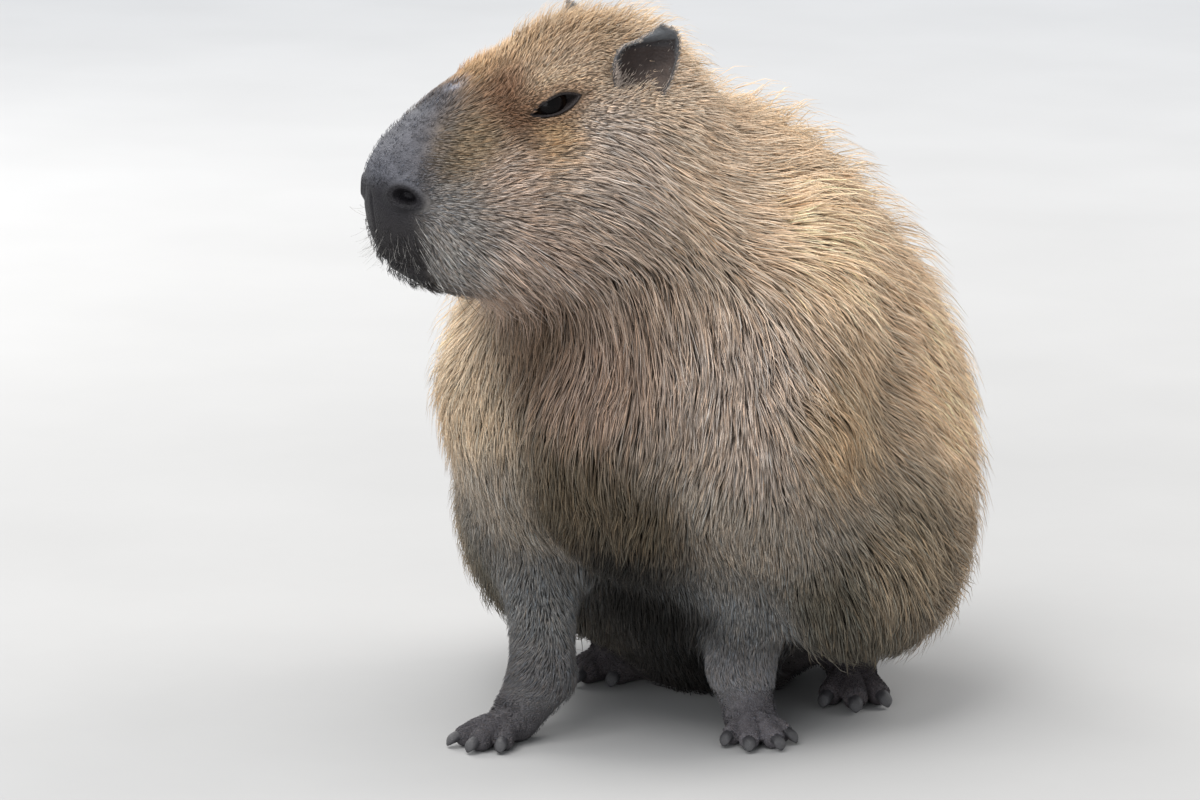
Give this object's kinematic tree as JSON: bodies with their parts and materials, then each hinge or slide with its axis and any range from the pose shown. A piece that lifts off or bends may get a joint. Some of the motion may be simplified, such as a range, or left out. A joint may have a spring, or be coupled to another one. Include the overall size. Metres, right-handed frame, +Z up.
{
  "type": "capybara",
  "caption": "Life-size capybara sitting on its haunches, forelegs straight, head turned to its right, eyes half closed, with a coarse tan and grey-brown coat.",
  "frame": {"origin": "centre of the bounding box on the floor, under the sitting animal", "axes": "+Z up, -Y is the way the body faces, +X is the animal's left; the head is turned about 37 degrees from -Y towards -X"},
  "size_m": [0.4508, 0.66, 0.6325],
  "materials": {
    "fur_tan": "coarse dry hair, golden tan over grey-brown",
    "fur_brown": "coarse dry hair, grey-brown",
    "fur_grey": "short grey-brown hair",
    "foot_skin": "dark, nearly bare skin",
    "ear_skin": "dark, thinly haired skin",
    "eye": "wet, glossy, nearly black",
    "claw_horn": "dull blue-grey horn"
  },
  "bodies": {
    "root": {"head": "fur_tan", "neck": "fur_tan", "torso": "fur_tan", "thigh_left": "fur_brown", "foreleg_left": "fur_grey", "forefoot_left": "foot_skin", "hindfoot_left": "foot_skin", "ear_left": "ear_skin", "eye_left": "eye", "thigh_right": "fur_brown", "foreleg_right": "fur_grey", "forefoot_right": "foot_skin", "hindfoot_right": "foot_skin", "ear_right": "ear_skin", "eye_right": "eye", "claw_fore_left_1": "claw_horn", "claw_fore_left_2": "claw_horn", "claw_fore_left_3": "claw_horn", "claw_fore_left_4": "claw_horn", "claw_fore_right_1": "claw_horn", "claw_fore_right_2": "claw_horn", "claw_fore_right_3": "claw_horn", "claw_fore_right_4": "claw_horn", "claw_hind_left_1": "claw_horn", "claw_hind_left_2": "claw_horn", "claw_hind_left_3": "claw_horn", "claw_hind_right_1": "claw_horn", "claw_hind_right_2": "claw_horn", "claw_hind_right_3": "claw_horn"}
  },
  "joints": []
}
